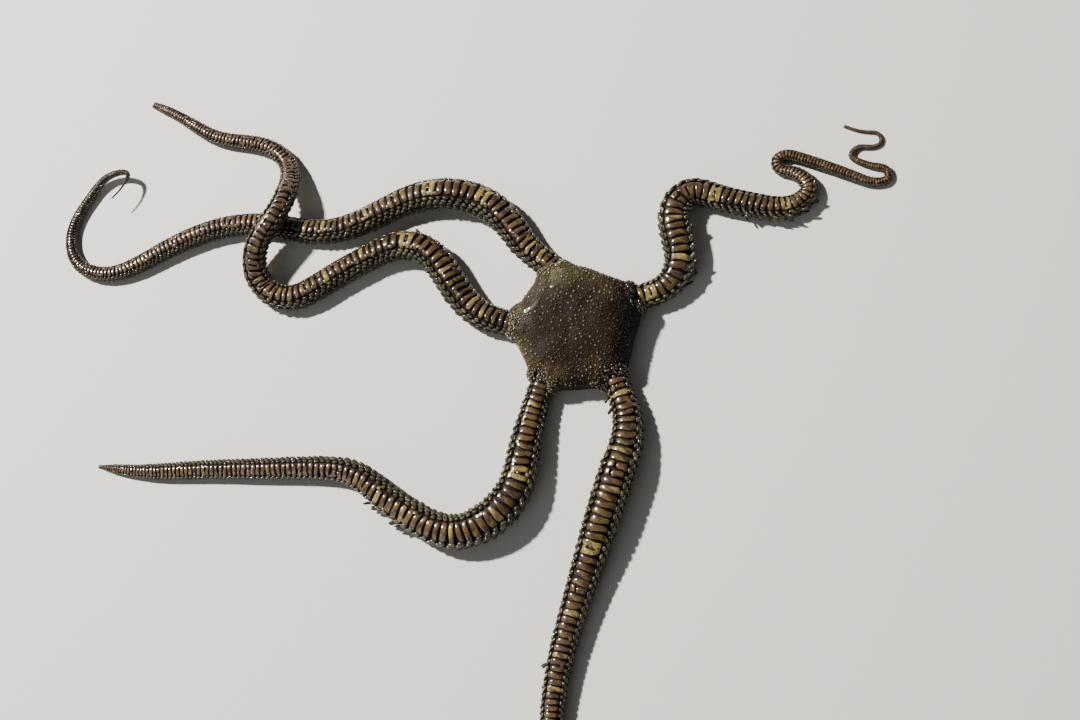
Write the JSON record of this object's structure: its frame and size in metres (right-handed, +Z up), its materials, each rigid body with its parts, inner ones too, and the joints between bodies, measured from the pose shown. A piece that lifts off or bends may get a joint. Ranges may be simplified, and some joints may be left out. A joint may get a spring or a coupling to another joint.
{
  "type": "smooth brittle star",
  "caption": "Life-size still model of a smooth brittle star: a small domed disc with long, whip-like plated arms in loose waves, lying flat.",
  "frame": {"origin": "middle of the disc's flat underside, on the floor", "axes": "+Z up; +X towards the picture's right and +Y towards its top, as the animal lies"},
  "size_m": [0.1541, 0.1575, 0.0074],
  "materials": {
    "disc": "wet dark brown skin packed with fine pale granules, olive-yellow mottling",
    "arm_plates": "wet glossy plates banded brown, olive and yellow-tan, with purple-black gaps",
    "arm_spines": "short wet grey-green spines with bright highlights"
  },
  "bodies": {
    "root": {"disc": "disc", "arm_1_length_1": "arm_plates", "arm_1_length_2": "arm_plates", "arm_1_length_3": "arm_plates", "arm_1_length_4": "arm_plates", "arm_1_length_5": "arm_plates", "arm_1_length_6": "arm_plates", "arm_1_length_7": "arm_plates", "arm_1_length_8": "arm_plates", "arm_2_length_1": "arm_plates", "arm_2_length_2": "arm_plates", "arm_2_length_3": "arm_plates", "arm_2_length_4": "arm_plates", "arm_2_length_5": "arm_plates", "arm_2_length_6": "arm_plates", "arm_2_length_7": "arm_plates", "arm_3_length_1": "arm_plates", "arm_3_length_2": "arm_plates", "arm_3_length_3": "arm_plates", "arm_3_length_4": "arm_plates", "arm_3_length_5": "arm_plates", "arm_4_length_1": "arm_plates", "arm_4_length_2": "arm_plates", "arm_4_length_3": "arm_plates", "arm_4_length_4": "arm_plates", "arm_4_length_5": "arm_plates", "arm_5_length_1": "arm_plates", "arm_5_length_2": "arm_plates", "arm_5_length_3": "arm_plates", "arm_5_length_4": "arm_plates", "arm_5_length_5": "arm_plates", "arm_5_length_6": "arm_plates", "arm_5_length_7": "arm_plates", "arm_5_length_8": "arm_plates"}
  },
  "joints": []
}
